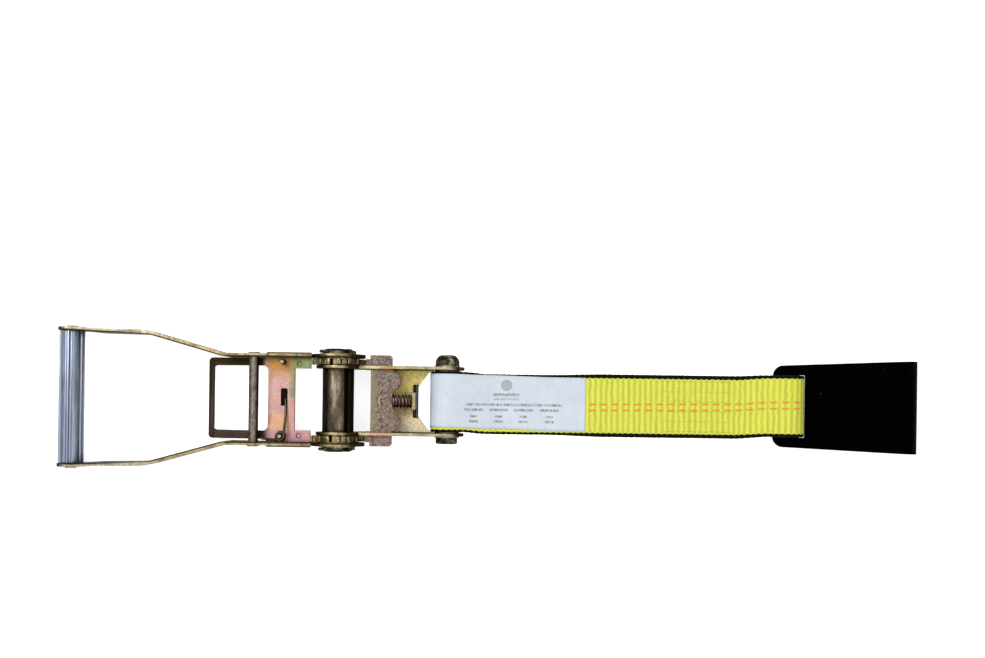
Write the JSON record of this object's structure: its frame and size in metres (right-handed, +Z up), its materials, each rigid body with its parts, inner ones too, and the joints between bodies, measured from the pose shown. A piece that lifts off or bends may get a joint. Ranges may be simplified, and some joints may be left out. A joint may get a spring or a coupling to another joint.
{
  "type": "ratchet tie down",
  "caption": "Ratchet tie-down with a wide handle, split spindle, two sprung pawls, a short sewn webbing strap on the ratchet bolt and a flat hook at its end",
  "frame": {"origin": "centre of the part's length and width, on the surface it lies on", "axes": "+X from the handle's grip to the hook, +Y across the webbing toward the nut, +Z up"},
  "size_m": [0.6919, 0.1152, 0.0455],
  "materials": {
    "yellow_zinc": "yellow zinc passivated steel plate",
    "pawl_zinc": "iridescent zinc passivated steel",
    "fastener_zinc": "zinc plated steel",
    "rod_steel": "dull zinc plated steel bar",
    "spring_steel": "spring wire",
    "grip_aluminium": "ribbed aluminium tube",
    "nylon": "nylon locking ring",
    "webbing_yellow": "woven polyester webbing with dark edges",
    "label_vinyl": "sewn label sheet",
    "thread": "sewing thread",
    "black_paint": "black coated steel plate"
  },
  "bodies": {
    "base": {"base_frame": "yellow_zinc", "base_bolt": "fastener_zinc", "lock_nut": "fastener_zinc", "nut_insert": "nylon", "bolt_washer": "fastener_zinc", "nut_washer": "fastener_zinc", "spacer_tube": "fastener_zinc", "lock_spring": "spring_steel"},
    "handle": {"arm_left": "yellow_zinc", "arm_right": "yellow_zinc", "grip_rod": "rod_steel", "cross_rod": "rod_steel"},
    "grip": {"grip": "grip_aluminium"},
    "drive_pawl": {"drive_pawl": "pawl_zinc", "spring_post_left": "yellow_zinc", "spring_post_right": "yellow_zinc", "drive_spring": "spring_steel"},
    "spindle": {"half_shaft_front": "rod_steel", "half_shaft_rear": "rod_steel", "gear_left": "pawl_zinc", "gear_right": "pawl_zinc", "thrust_washer_left": "fastener_zinc", "thrust_washer_right": "fastener_zinc", "end_washer_left": "yellow_zinc", "end_washer_right": "yellow_zinc", "cotter_pin_left": "rod_steel", "cotter_pin_right": "rod_steel"},
    "lock_pawl": {"lock_pawl": "pawl_zinc"},
    "strap": {"webbing": "webbing_yellow", "label": "label_vinyl", "stitching": "thread"},
    "hook": {"flat_hook": "black_paint"}
  },
  "joints": [
    {"name": "handle_pivot", "type": "hinge", "parent": "base", "child": "handle", "pos_m": [-0.1169, 0, 0.024], "axis": [0, 1, 0], "range_deg": [0, 157.5]},
    {"name": "grip_turn", "type": "hinge", "parent": "handle", "child": "grip", "pos_m": [-0.3353, 0, 0.0107], "axis": [0, 1, 0], "continuous": true},
    {"name": "drive_pawl_slide", "type": "slide", "parent": "handle", "child": "drive_pawl", "axis": [-1, 0, 0], "range_m": [-0.0034, 0.006], "stiffness_N_per_m": 800, "deforming": ["drive_spring"]},
    {"name": "spindle_turn", "type": "hinge", "parent": "base", "child": "spindle", "pos_m": [-0.1169, 0, 0.024], "axis": [0, 1, 0], "continuous": true},
    {"name": "lock_pawl_slide", "type": "slide", "parent": "base", "child": "lock_pawl", "axis": [1, 0, 0], "range_m": [-0.0034, 0.004], "stiffness_N_per_m": 800, "deforming": ["lock_spring"]},
    {"name": "strap_pivot", "type": "hinge", "parent": "base", "child": "strap", "pos_m": [-0.0302, 0, 0.018], "axis": [0, 1, 0], "range_deg": [-90, 90]},
    {"name": "hook_pivot", "type": "hinge", "parent": "strap", "child": "hook", "pos_m": [0.2435, 0, 0.014], "axis": [0, 1, 0], "range_deg": [-90, 90]}
  ]
}
